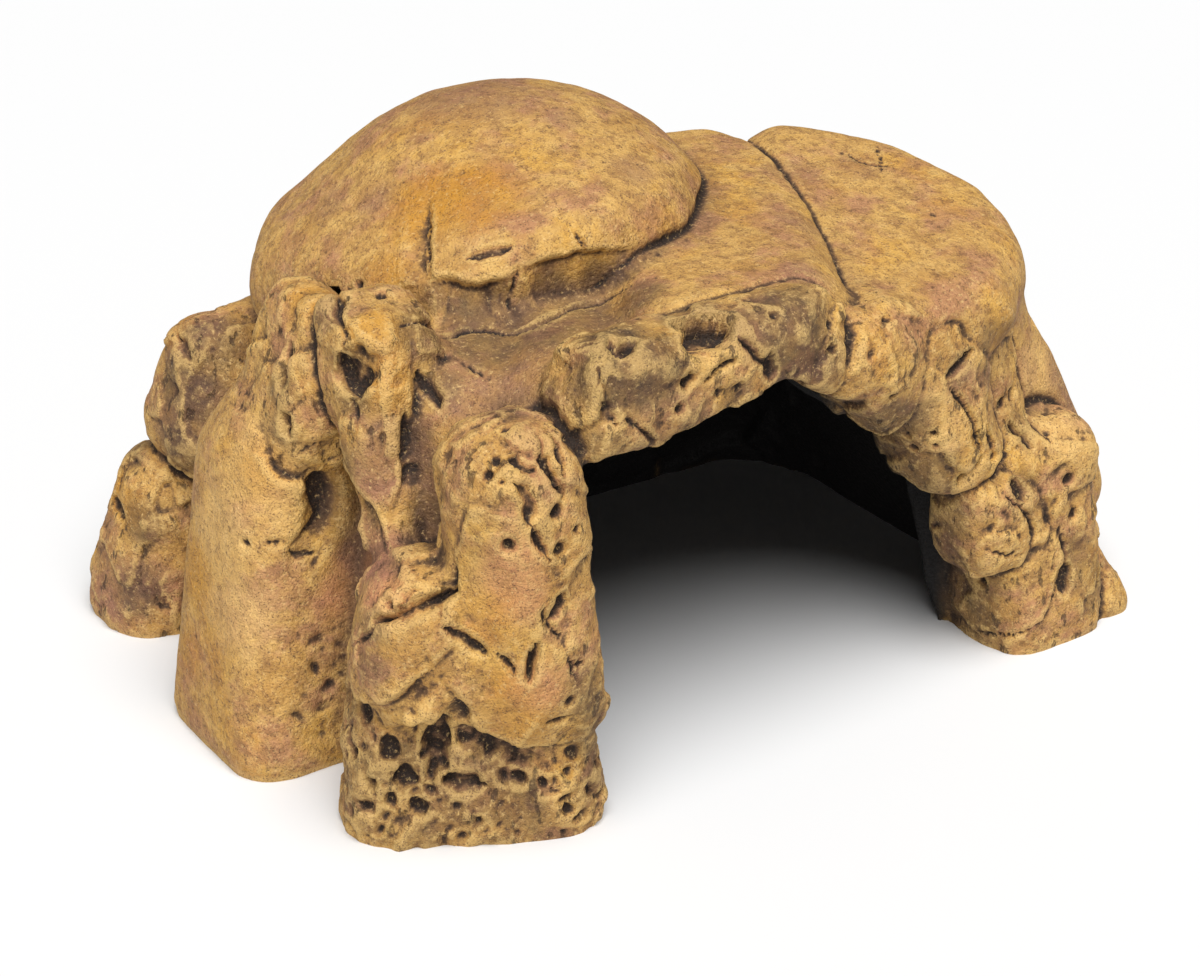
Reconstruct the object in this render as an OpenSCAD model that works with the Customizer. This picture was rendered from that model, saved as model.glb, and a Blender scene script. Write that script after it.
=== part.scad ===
// Hollow rock cave for an aquarium or terrarium floor: a domed shell with an open
// base, an arched mouth at the front (-Y), and stones bonded over and around it.

/* [Cave] */
// Height of the cave over the floor
cave_h = 122; // [110:1:135]

/* [Mouth] */
// Width of the arched mouth at the floor
mouth_w = 104; // [96:1:106]
// Height of the mouth at its crown
mouth_h = 84; // [72:1:86]

/* [Dome] */
// Half width of the ring that the dome's lip follows
dome_rx = 38; // [35:1:40]
// Half depth of that ring
dome_ry = 38; // [34:1:40]
// Height of the lip's middle at the front
lip_z = 104; // [100:1:106]
// Rounding of the lip at the front
lip_r = 8; // [7:1:10]

/* [Quality] */
// Segments on each round corner of a stone
knob_fn = 20; // [16:2:30]

/* [Hidden] */

// Side of the box that holds everything above the floor
reach = 400;
// How far the stones that stand on the floor are drawn below it, to be cut flat
sunk = 10;
// The same for the air inside, whose round lower edges stay below the floor
cavity_sunk = 20;
// How deep the mouth is cut in from the front, and where that cut ends
mouth_depth = 76;
mouth_back = -20;
// Rounding in the corners of the mouth's outline
mouth_round = 6;
// Middle of the dome's lip ring, and how much lower and fuller it is at the back and left
dome_at = [-28, 14];
back_drop = 22;
back_swell = 12;
left_drop = 14;
// Degrees from one knob of the lip ring to the next
lip_step = 30;
// The dome's crown: its middle, its height over that and its share of width to height
crown_at = [-18, 20];
crown_rise = 28;
crown_spread = 1.5;
// Segments on the large rounds: the dome, its crown and the mouth's corners
crown_fn = 36;
// Shift that puts the middle of the layout over the origin
to_centre = [3, -2.5, 0];

// One stone: a box with round corners, narrower or wider and shifted at its top.
// size is [width, depth, height], taper the top's share of the bottom's width and depth.
module boulder(at, size, taper = 0.8, lean = [0, 0], turn = 0, edge = 8) {
    translate(at)
        rotate([0, 0, turn])
            hull()
                for (x = [-1, 1], y = [-1, 1]) {
                    translate([x * (size[0] / 2 - edge), y * (size[1] / 2 - edge), edge])
                        sphere(r = edge, $fn = knob_fn);
                    translate([lean[0] + x * (size[0] * taper / 2 - edge),
                               lean[1] + y * (size[1] * taper / 2 - edge), size[2] - edge])
                        sphere(r = edge, $fn = knob_fn);
                }
}

// One roof slab over the given plan corners; its top slopes by tilt [per x, per y]
module slab(corners, top, tilt, edge) {
    hull()
        for (c = corners)
            translate([c[0], c[1], top + tilt[0] * c[0] + tilt[1] * c[1] - edge])
                sphere(r = edge, $fn = knob_fn);
}

// Keeps what is above the floor, so that the base is flat
module above_floor() {
    intersection() {
        union() children();
        translate([-reach / 2, -reach / 2, 0]) cube([reach, reach, reach]);
    }
}

// One closed solid, cut flat at the floor and kept at its own size
module cast_solid() {
    resize([0, 0, 0]) above_floor() children();
}

// The hollow shell's outside, before the stones are bonded over it
module shell_outer() {
    // dome under the capstone
    translate([-25, 15, 50])
        sphere(r = 50, $fn = crown_fn);
    // neck that carries the dome's lip
    boulder([-30, -5, 60], [76, 50, 42], taper = 0.85);
    // left wall, flaring out to the floor
    boulder([-70, 15, -sunk], [50, 70, 90], taper = 0.7, lean = [5, -5], edge = 15);
    // front left corner, behind the pillar
    boulder([-65, -30, -sunk], [40, 40, 100], taper = 0.85, lean = [5, 0], edge = 12);
    // flat roof over the mouth
    slab([[-50, -45], [40, -45], [65, -30], [60, 0], [25, 20], [-30, -10]], 95, [-0.05, 0.1], 14);
    // right flank, steep down to the floor
    boulder([75, -10, -sunk], [58, 85, 90], taper = 0.75, lean = [-10, 0], edge = 15);
    // back wall
    boulder([5, 45, -sunk], [160, 50, 95], taper = 0.75, lean = [-5, -10], edge = 16);
}

// The air inside
module shell_cavity() {
    boulder([0, 0, -cavity_sunk], [150, 95, 100], taper = 0.7, lean = [-6, 0], edge = 18);
}

// Outline of the mouth, seen from the front: upright at the left, sloping at the right
module mouth_outline() {
    side = mouth_w / 2;
    offset(r = mouth_round, $fn = crown_fn) offset(delta = -mouth_round)
        polygon([[-side, -sunk], [-side - 6, mouth_h - 4], [-side * 0.8, mouth_h - 6],
                 [-side * 0.2, mouth_h], [side * 0.2, mouth_h * 0.85], [side * 0.7, mouth_h * 0.5],
                 [side, 0], [side, -sunk]]);
}

module mouth() {
    translate([0, mouth_back, 0])
        rotate([90, 0, 0])
            linear_extrude(height = mouth_depth) mouth_outline();
}

// The dome: a ring of lip knobs on an ellipse, lower and fuller at the back, and a crown
module capstone_form() {
    hull() {
        for (a = [0 : lip_step : 360 - lip_step])
            let (back = max(0, sin(a)), left = max(0, -cos(a)))
                translate([dome_at[0] + dome_rx * cos(a), dome_at[1] + dome_ry * sin(a),
                           lip_z - back_drop * back - left_drop * left * left])
                    sphere(r = lip_r + back_swell * back, $fn = knob_fn);
        translate([crown_at[0], crown_at[1], cave_h - crown_rise])
            scale([crown_spread, crown_spread, 1])
                sphere(r = crown_rise, $fn = crown_fn);
    }
}

module middle_slab_form() {
    slab([[-25, -50], [5, -50], [35, 0], [35, 20], [5, 25], [-15, -20]], 102, [0, 0.05], 11);
}

module right_slab_form() {
    slab([[10, -57], [50, -55], [65, -44], [70, -25], [65, -5], [50, 10], [30, -15]],
         102, [0, 0.2], 10);
}

module left_brow_form() {
    boulder([-87, -2, 62], [20, 34, 38], taper = 0.75, lean = [7, -2], edge = 7);
}

module left_wedge_form() {
    boulder([-82, -34, 54], [16, 14, 49], taper = 1.5, lean = [6, 12], edge = 6);
}

module left_slab_form() {
    boulder([-91, 1, -sunk], [38, 46, 86], taper = 0.75, lean = [5, 2], edge = 11);
}

module left_pillar_form() {
    boulder([-66, -60, 18], [30, 28, 71], taper = 0.95, lean = [-4, 2], edge = 12);
}

module left_lobe_form() {
    boulder([-85, -50, 27], [30, 28, 34], taper = 0.85, turn = -30, edge = 9);
}

module left_foot_form() {
    boulder([-74, -49, -sunk], [54, 32, 52], taper = 0.9, lean = [0, 1], turn = -30, edge = 11);
}

module lintel_form() {
    boulder([-26, -59, 75], [70, 20, 25], taper = 0.95, edge = 8);
}

module crown_form() {
    boulder([15, -57, 60], [26, 24, 32], taper = 1.1, edge = 10);
}

module right_arch_form() {
    boulder([42, -57, 42], [26, 24, 47], taper = 1, lean = [-10, 2], edge = 10);
}

module right_cheek_form() {
    boulder([56, -51, 44], [22, 20, 32], taper = 0.9, lean = [-2, 2], edge = 7);
}

module right_shoulder_form() {
    boulder([85, -42, 14], [32, 30, 66], taper = 0.85, lean = [-20, 4], edge = 10);
}

module right_knuckle_form() {
    boulder([56, -61, 20], [28, 20, 26], taper = 0.9, lean = [-3, 0], edge = 7);
}

module right_foot_form() {
    boulder([70, -60, -sunk], [34, 27, 62], taper = 0.95, lean = [-3, 4], edge = 9);
}

module right_heel_form() {
    boulder([84, -57, -sunk], [26, 30, 38], taper = 0.75, lean = [-2, 6], edge = 9);
}

module rear_upper_form() {
    boulder([-70, 52, 36], [44, 32, 38], taper = 0.8, edge = 12);
}

module rear_lower_form() {
    boulder([-83, 62, -sunk], [46, 34, 52], taper = 0.8, lean = [2, -2], edge = 13);
}

// A stone of its own, cut back to the air inside the cave
module bonded(tint) {
    color(tint)
        translate(to_centre)
            cast_solid()
                difference() {
                    children(0);
                    if ($children > 1) children([1 : $children - 1]);
                    shell_cavity();
                    mouth();
                }
}

module cave_shell() {
    bonded("burlywood") {
        shell_outer();
        capstone_form();
        middle_slab_form();
        right_slab_form();
        left_brow_form();
        left_wedge_form();
        left_slab_form();
        left_pillar_form();
        left_lobe_form();
        left_foot_form();
        lintel_form();
        crown_form();
        right_arch_form();
        right_cheek_form();
        right_shoulder_form();
        right_knuckle_form();
        right_foot_form();
        right_heel_form();
    }
}

module dome_capstone() { bonded("tan") capstone_form(); }

module middle_roof_slab() {
    bonded("tan") {
        middle_slab_form();
        capstone_form();
    }
}

module right_roof_slab() {
    bonded("tan") {
        right_slab_form();
        middle_slab_form();
        capstone_form();
    }
}

module left_brow_stone() {
    bonded("tan") {
        left_brow_form();
        capstone_form();
    }
}

module left_wedge_stone() {
    bonded("tan") {
        left_wedge_form();
        left_brow_form();
        capstone_form();
    }
}

module left_wall_slab() {
    bonded("tan") {
        left_slab_form();
        left_brow_form();
        left_wedge_form();
        left_foot_form();
    }
}

module left_pillar_stone() {
    bonded("tan") {
        left_pillar_form();
        left_wedge_form();
    }
}

module left_lobe_stone() {
    bonded("tan") {
        left_lobe_form();
        left_pillar_form();
    }
}

module left_foot_stone() {
    bonded("tan") {
        left_foot_form();
        left_pillar_form();
        left_lobe_form();
    }
}

module lintel_stone() {
    bonded("tan") {
        lintel_form();
        left_pillar_form();
        middle_slab_form();
        right_slab_form();
    }
}

module arch_crown_stone() {
    bonded("tan") {
        crown_form();
        lintel_form();
        middle_slab_form();
        right_slab_form();
    }
}

module right_arch_stone() {
    bonded("tan") {
        right_arch_form();
        crown_form();
        right_slab_form();
    }
}

module right_cheek_stone() {
    bonded("tan") {
        right_cheek_form();
        right_arch_form();
        right_slab_form();
    }
}

module right_shoulder_stone() {
    bonded("tan") {
        right_shoulder_form();
        right_cheek_form();
        right_arch_form();
        right_slab_form();
    }
}

module right_knuckle_stone() {
    bonded("tan") {
        right_knuckle_form();
        right_arch_form();
        right_cheek_form();
        right_shoulder_form();
    }
}

module right_foot_stone() {
    bonded("tan") {
        right_foot_form();
        right_knuckle_form();
        right_arch_form();
        right_cheek_form();
        right_shoulder_form();
    }
}

module right_heel_stone() {
    bonded("tan") {
        right_heel_form();
        right_foot_form();
        right_shoulder_form();
    }
}

module rear_upper_boulder() {
    bonded("tan") {
        rear_upper_form();
        shell_outer();
        capstone_form();
    }
}

module rear_lower_boulder() {
    bonded("tan") {
        rear_lower_form();
        rear_upper_form();
        shell_outer();
    }
}

cave_shell();
dome_capstone();
middle_roof_slab();
right_roof_slab();
left_brow_stone();
left_wedge_stone();
left_wall_slab();
left_pillar_stone();
left_lobe_stone();
left_foot_stone();
lintel_stone();
arch_crown_stone();
right_arch_stone();
right_cheek_stone();
right_shoulder_stone();
right_knuckle_stone();
right_foot_stone();
right_heel_stone();
rear_upper_boulder();
rear_lower_boulder();
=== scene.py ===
from itertools import product
from math import cos, radians, sin
import bpy
import numpy as np
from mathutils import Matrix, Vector
from mathutils.bvhtree import BVHTree
from mathutils.kdtree import KDTree


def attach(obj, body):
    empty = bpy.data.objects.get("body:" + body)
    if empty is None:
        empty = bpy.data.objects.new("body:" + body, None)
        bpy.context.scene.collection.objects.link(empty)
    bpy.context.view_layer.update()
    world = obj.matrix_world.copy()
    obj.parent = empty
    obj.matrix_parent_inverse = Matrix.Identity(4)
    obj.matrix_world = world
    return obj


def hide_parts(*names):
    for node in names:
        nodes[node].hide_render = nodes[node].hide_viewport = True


# The stones are sculpted in millimetres as one fused skin, so that neighbours meet
# without a seam, then split along the CAD nodes' borders into closed pieces.
MM = 0.001
VOXEL = 0.8        # mesh size of the fused skin, mm
BASE_HEIGHT = 0.4                         # corners of the skin below this belong to the flat base, mm

# camera, light and floor
VIEW_AZIMUTH, VIEW_ELEVATION = -35, 27    # the camera's side, from which marks are placed too, degrees
CAMERA_TARGET = (-0.020, -0.0235, 0.045)  # m
CAMERA_DISTANCE = 0.5                     # m
LIGHT_LEVEL = 1.38                        # how much brighter than its paint a lit stone shows
SKY_LEVEL = 0.12                          # strength of the even light from all round
FLOOR_HALF = 6.0                          # half the floor's width, m
FLOOR_GREY = 0.74                         # how light the floor's own paint is, 0 to 1

# evening out, in rounds of averaging with the neighbours; where there are more numbers,
# each stage comes on top of the one before
FORM_ROUNDS = (14, 40, 110, 120)          # the stones' forms: sharp, even, rounded and runny
PAINT_ROUNDS = (5, 40, 260)               # the levels that fine, wide and vast hollows are told by
BORDER_ROUNDS = 6                         # a stone's soft border
GROOVE_ROUNDS = 3                         # that border for a groove, for each mm of its width
TRACE_ROUNDS = 4                          # the skin's directions where marks are traced
MOVE_ROUNDS = 6                           # the directions in which the skin moves
BASE_ROUNDS = 4                           # those moves on the flat base
SIGHT_ROUNDS = 3                          # the border of what is seen from inside
OWNER_ROUNDS = 6                          # votes between neighbours on the stone that a corner is of
OWN_VOTE = 1.5                            # how much its present stone counts in those

# tracing marks
NEAR = 1.2                                # how close to a place the skin counts as being there, mm
LINE_STEP = 0.7                           # spacing of the points that a mark is traced with, mm
WOBBLE_SIZE = 5.0                         # length over which a mark wanders or changes its width, mm
EDGE = 0.6                                # half the width of a broken edge's face, mm
CRACK_VARY, LEDGE_VARY = 0.4, 0.3         # how much those change along their line
RAGGED = 0.35                             # how ragged the outline of a hollow or of a patch of paint is
FIRST_SEED, SEED_STEP = 100, 7            # each mark draws its noise from seeds of its own

# zones, in mm; a band goes from where it starts to where it is full
DOME_BAND = (96, 108)                     # heights where the dome gets its rounded form
FOOT_BAND = (36, 28)                      # heights where the left foot gets its honeycomb of pits
BACK_BAND = (0, 25)                       # y where the shell's wilder back wall begins
INSIDE_BAND = (-60, -50)                  # y where the chamber's painted shade begins
JAMB_SHADE_BAND = (-74, -64)                    # y where painted shade darkens the mouth's own walls, in front of that
JAMB_SHADE = 0.9                          # how dark that painted shade is
CHAMBER_MIDDLE = (0, 0, 20)               # a point in the chamber that sees all its walls
SIGHT_SLACK = 1.5                         # how near to a corner sight may stop and still count
ZONE_CORE, PATCH_CORE = 0.4, 0.35         # share of its radius within which each is full
BACK_ROUGH = 0.55                         # how rough the back wall is, next to the rough stones
ROUGH_STONES = ("left_brow_stone", "left_wedge_stone", "left_pillar_stone", "left_lobe_stone",
                "lintel_stone", "arch_crown_stone", "right_arch_stone", "right_cheek_stone",
                "right_knuckle_stone", "right_foot_stone", "right_heel_stone", "left_foot_stone",
                "rear_upper_boulder", "rear_lower_boulder")
MELTED = (                                # where stones run into each other: stone, radius, spots on it
    ("left_wedge_stone", 13, ((0.4, 0.9), (0.9, 0.9), (1.1, 0.8))),
    ("left_brow_stone", 14, ((0.8, 0.6), (0.9, 0.2), (0.5, 0.05), (0.2, 0.1))),
    ("left_wall_slab", 14, ((0.95, 0.7), (0.95, 0.5), (0.95, 0.3), (0.3, 0.95), (0.5, 0.9), (0.75, 0.9))),
    ("left_pillar_stone", 10, ((0.25, 0.5), (0.25, 0.3), (0.3, 0.1), (0.7, 0.03))),
    ("right_knuckle_stone", 10, ((0.3, 1.0), (0.9, 0.9), (1.0, 0.4))),
    ("right_arch_stone", 9, ((0.3, 0.9), (0.2, 0.5))),
    ("lintel_stone", 9, ((0.98, 0.7), (0.05, 0.4))),
    ("right_roof_slab", 20, ((0.95, 0.5), (1.0, 0.35), (0.95, 0.2), (0.75, 0.08), (0.5, 0.05))))
PITTED = (                                # where the stone is riddled with pits, likewise
    ("left_wall_slab", 14, ((0.8, 0.3), (0.75, 0.2), (0.9, 0.1), (1.0, 0.2))),
    ("arch_crown_stone", 9, ((0.5, 0.5), (0.8, 0.3))),
    ("right_knuckle_stone", 9, ((0.5, 0.5), (0.8, 0.2))))
SMOOTH = (                                # where rough stone keeps a smooth skin, likewise
    ("left_pillar_stone", 15, ((0.3, 0.6), (0.4, 0.45), (0.3, 0.3), (0.5, 0.15))),
    ("left_lobe_stone", 12, ((0.5, 0.4), (0.3, 0.3))),
    ("left_wedge_stone", 12, ((1.0, 0.5), (0.4, 0.2))),
    ("lintel_stone", 9, ((0.35, 0.5), (0.85, 0.7))))
PITTED_SHARE = 0.55                       # how strongly PITTED is pitted, next to the foot
SMOOTH_SHARE = 0.75                       # how much of the roughness SMOOTH loses

# the core: an evened-out copy of the skin further in, on which the pieces are closed
CORE_DEPTH = 4.0                          # how far in it goes, past the deepest marks, mm
CORE_ROUNDS = 40                          # how much the marks are evened out of it
CORE_FLOOR = 0.3                          # how high above the floor it stays, mm

WASHES = (                                # washes in set places, in painting order, as screen colours; the dark brown and the purplish ones are partly painted shade
    ("pale", (232, 188, 118)), ("pink", (200, 136, 98)), ("mauve", (136, 94, 80)),
    ("orange", (196, 134, 30)), ("umber_and_shade", (70, 52, 42)))

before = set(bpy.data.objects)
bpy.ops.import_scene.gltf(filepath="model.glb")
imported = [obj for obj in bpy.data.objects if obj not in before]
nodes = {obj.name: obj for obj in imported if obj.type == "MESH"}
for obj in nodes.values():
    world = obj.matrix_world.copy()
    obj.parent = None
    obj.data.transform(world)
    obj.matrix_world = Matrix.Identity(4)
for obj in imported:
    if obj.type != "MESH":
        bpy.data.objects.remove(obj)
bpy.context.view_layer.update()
names = sorted(nodes)


# ---------------------------------------------------------------- camera, light and floor

def direction(azimuth, elevation):
    """A step of length 1 towards that side, in degrees from the front to the right, and up."""
    turn, rise = radians(azimuth), radians(elevation)
    return sin(turn) * cos(rise), -cos(turn) * cos(rise), sin(rise)


def set_camera():
    back = Vector(direction(VIEW_AZIMUTH, VIEW_ELEVATION))
    camera = bpy.data.objects.new("camera", bpy.data.cameras.new("camera"))
    camera.data.lens = 70
    camera.data.sensor_width = 36
    camera.data.clip_start = 0.01
    camera.location = Vector(CAMERA_TARGET) + back * CAMERA_DISTANCE
    camera.rotation_euler = back.to_track_quat("Z", "Y").to_euler()
    bpy.context.collection.objects.link(camera)
    bpy.context.scene.camera = camera


def soft_sun(name, azimuth, elevation, width, power, only=None):
    """Even studio light from one side; width is the spread of the soft box in degrees."""
    light = bpy.data.objects.new(name, bpy.data.lights.new(name, "SUN"))
    light.data.angle = radians(width)
    light.data.energy = power
    light.rotation_euler = Vector(direction(azimuth, elevation)).to_track_quat("Z", "Y").to_euler()
    bpy.context.collection.objects.link(light)
    if only:
        light.light_linking.receiver_collection = only


def set_light(pieces):
    """One lamp lights everything; the other fills in the stones' fronts and leaves the floor alone."""
    world = bpy.data.worlds.new("studio")
    world.use_nodes = True
    sky = world.node_tree.nodes["Background"]
    sky.inputs["Color"].default_value = (1, 1, 1, 1)
    sky.inputs["Strength"].default_value = SKY_LEVEL
    bpy.context.scene.world = world
    soft_sun("top", azimuth=-20, elevation=68, width=50, power=4.2)
    soft_sun("front", azimuth=-40, elevation=30, width=60, power=1.9, only=pieces)
    bpy.context.scene.view_settings.view_transform = "Standard"
    bpy.context.scene.view_settings.look = "None"


def set_floor():
    half = FLOOR_HALF
    mesh = bpy.data.meshes.new("floor")
    mesh.from_pydata([(-half, -half, 0), (half, -half, 0), (half, half, 0), (-half, half, 0)],
                     [], [(0, 1, 2, 3)])
    floor = bpy.data.objects.new("floor", mesh)
    bpy.context.collection.objects.link(floor)
    material = bpy.data.materials.new("floor_white")
    material.use_nodes = True
    shader = material.node_tree.nodes["Principled BSDF"]
    shader.inputs["Base Color"].default_value = (FLOOR_GREY, FLOOR_GREY, FLOOR_GREY, 1)
    shader.inputs["Roughness"].default_value = 0.9
    mesh.materials.append(material)


# ---------------------------------------------------------------- noise, on arrays of points

def hash01(cell, seed):
    """A repeatable number from 0 to 1 for each whole-number cell."""
    h = cell[:, 0] * 73856093 ^ cell[:, 1] * 19349663 ^ cell[:, 2] * 83492791 ^ (seed * 9176 + 77)
    h = (h & 0x7FFFFFFF) * 1103515245 & 0x7FFFFFFF
    h = (h ^ (h >> 15)) * 12820163 & 0x7FFFFFFF
    return ((h ^ (h >> 13)) & 0xFFFFF) / 0xFFFFF


def smooth_noise(p, size, seed):
    """Smooth noise from -1 to 1 with lumps of about the given size."""
    q = p / size + 1000.0
    base = np.floor(q).astype(np.int64)
    f = q - base
    f = f * f * (3 - 2 * f)
    total = np.zeros(len(p))
    for corner in product((0, 1), repeat=3):
        weight = np.prod(np.where(corner, f, 1 - f), axis=1)
        total += weight * hash01(base + np.array(corner), seed)
    return total * 2 - 1


def layered_noise(p, size, layers, seed):
    """Smooth noise in that many layers, each with lumps half as large as the one before."""
    total, scale = np.zeros(len(p)), 0.0
    for i in range(layers):
        strength = 0.55 ** i
        total += strength * smooth_noise(p, size / 2 ** i, seed + i)
        scale += strength
    return total / scale


def cell_noise(p, size, seed):
    """For each point the nearest of some scattered spots: how far off it is, where 1 is the given
    size, its own number, and the way from it in mm."""
    q = p / size + 1000.0
    base = np.floor(q).astype(np.int64)
    best, own, way = np.full(len(p), 9.0), np.zeros(len(p)), np.zeros((len(p), 3))
    for step in product((-1, 0, 1), repeat=3):
        cell = base + np.array(step)
        spot = cell + np.stack([hash01(cell, seed + k) for k in range(3)], axis=1)
        d = np.linalg.norm(q - spot, axis=1)
        nearer = d < best
        best = np.where(nearer, d, best)
        own = np.where(nearer, hash01(cell, seed + 3), own)
        way = np.where(nearer[:, None], q - spot, way)
    return best, own, way * size


def warped(p, size, amount, seed):
    """The points pushed about by smooth noise, so that patterns laid on them lose their order."""
    return p + amount * np.stack([smooth_noise(p, size, seed + k) for k in range(3)], axis=1)


def chips(p, size, slope, seed):
    """Flat facets, each tilted its own way, like broken rock."""
    _, own, way = cell_noise(warped(p, size * 0.8, size * 0.25, seed + 5), size, seed)
    turn, lean = own * 2 * np.pi * 7, np.cos(own * 50)
    tilt = np.stack([np.cos(turn), np.sin(turn), lean], axis=1) / np.sqrt(1 + lean ** 2)[:, None]
    return slope * np.sum(way * tilt, axis=1)


def pitting(p, size, share, seed, fill):
    """Depth, 0 to 1, of ragged pits about size apart, in that share of the places; fill sets
    their width."""
    far, own, _ = cell_noise(warped(p, size * 0.7, size * 0.3, seed + 5), size, seed)
    radius = fill * (0.55 + 0.45 * hash01((own[:, None] * 9999 * np.ones(3)).astype(np.int64), seed + 9))
    return (own < share) * (1 - ramp(far, radius * 0.25, radius))


def ramp(x, low, high):
    """Smooth step from 0 at low to 1 at high; low may be the larger."""
    t = np.clip((x - low) / (high - low), 0, 1)
    return t * t * (3 - 2 * t)


def tapered(count):
    """How large a mark is at each point of its line, 0 to 1: it gets smaller towards both ends."""
    if count <= 2:
        return np.ones(count)
    along = np.linspace(0, 1, count)
    return 0.3 + 0.7 * np.clip(4 * np.minimum(along, 1 - along), 0, 1)


# ---------------------------------------------------------------- the fused skin

def corners_of(mesh):
    """The mesh's corners, in mm."""
    co = np.empty(len(mesh.vertices) * 3)
    mesh.vertices.foreach_get("co", co)
    return co.reshape(-1, 3) / MM


def cad_surface():
    """All CAD solids together: corners in mm, polygons, and the node that each polygon is of."""
    points, polygons, node_of, start = [], [], [], 0
    for i, name in enumerate(names):
        mesh = nodes[name].data
        points.append(corners_of(mesh))
        polygons += [[start + v for v in p.vertices] for p in mesh.polygons]
        node_of += [i] * len(mesh.polygons)
        start += len(mesh.vertices)
    return np.concatenate(points), polygons, node_of


def fused_skin():
    """All CAD solids as one closed quad skin: corners in mm and the quads."""
    points, polygons, _ = cad_surface()
    mesh = bpy.data.meshes.new("fused")
    mesh.from_pydata((points * MM).tolist(), [], polygons)
    joined = bpy.data.objects.new("fused", mesh)
    bpy.context.collection.objects.link(joined)
    remesh = joined.modifiers.new("remesh", "REMESH")
    remesh.mode = "VOXEL"
    remesh.voxel_size = VOXEL * MM
    result = bpy.data.meshes.new_from_object(
        joined.evaluated_get(bpy.context.evaluated_depsgraph_get()))
    co = corners_of(result)
    quads = np.empty(len(result.polygons) * 4, dtype=np.int64)
    result.polygons.foreach_get("vertices", quads)
    for data in (result, mesh):
        bpy.data.meshes.remove(data)
    return co, quads.reshape(-1, 4)


def sides_of(quads):
    """The four sides of each quad, as pairs of corners."""
    return np.concatenate([quads[:, [i, (i + 1) % 4]] for i in range(4)])


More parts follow.
